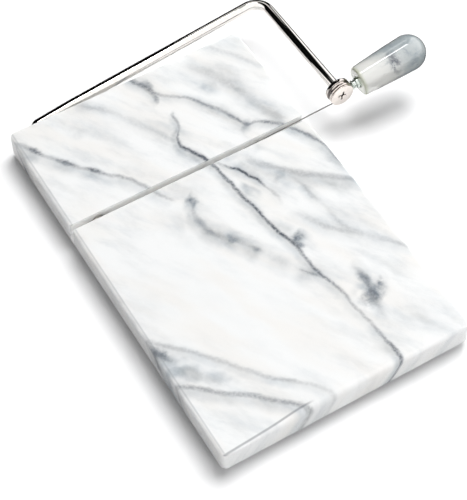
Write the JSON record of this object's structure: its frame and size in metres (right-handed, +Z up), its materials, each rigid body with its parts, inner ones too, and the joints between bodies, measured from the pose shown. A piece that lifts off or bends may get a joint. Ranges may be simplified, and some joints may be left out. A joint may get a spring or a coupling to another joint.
{
  "type": "cheese wire cutter",
  "caption": "Marble slab with a wire groove and a hinged bent-rod arm that pulls a taut cutting wire down into it by a marble grip on a clamp hub.",
  "frame": {"origin": "bottom centre of the bounding box, on the plane the feet stand on", "axes": "+X across the board from the hinge side to the handle side, +Y along the board towards the hinge end, +Z up"},
  "size_m": [0.194, 0.2126, 0.0365],
  "materials": {
    "board_marble": "honed white marble with blue-grey veins",
    "handle_marble": "polished white and grey marble",
    "rod_chrome": "bright chrome plate",
    "hub_chrome": "bright nickel-chrome plate",
    "wire_steel": "drawn stainless wire",
    "zinc": "clear zinc plate",
    "nylon": "natural nylon",
    "foot_rubber": "soft translucent white rubber"
  },
  "bodies": {
    "board": {"marble_board": "board_marble", "rear_bush": "nylon", "front_bush": "nylon", "foot_front_left": "foot_rubber", "foot_front_right": "foot_rubber", "foot_rear_left": "foot_rubber", "foot_rear_right": "foot_rubber"},
    "arm": {"arm_rod": "rod_chrome", "cutting_wire": "wire_steel", "wire_barrel": "zinc", "hub": "hub_chrome", "hub_screw": "hub_chrome", "handle_stud": "zinc", "handle_insert": "zinc", "handle": "handle_marble"}
  },
  "joints": [
    {"name": "arm_swing", "type": "hinge", "parent": "board", "child": "arm", "pos_m": [-0.08254, 0.03216, 0.0087], "axis": [0, -1, 0], "range_deg": [-2.9, 170]}
  ]
}
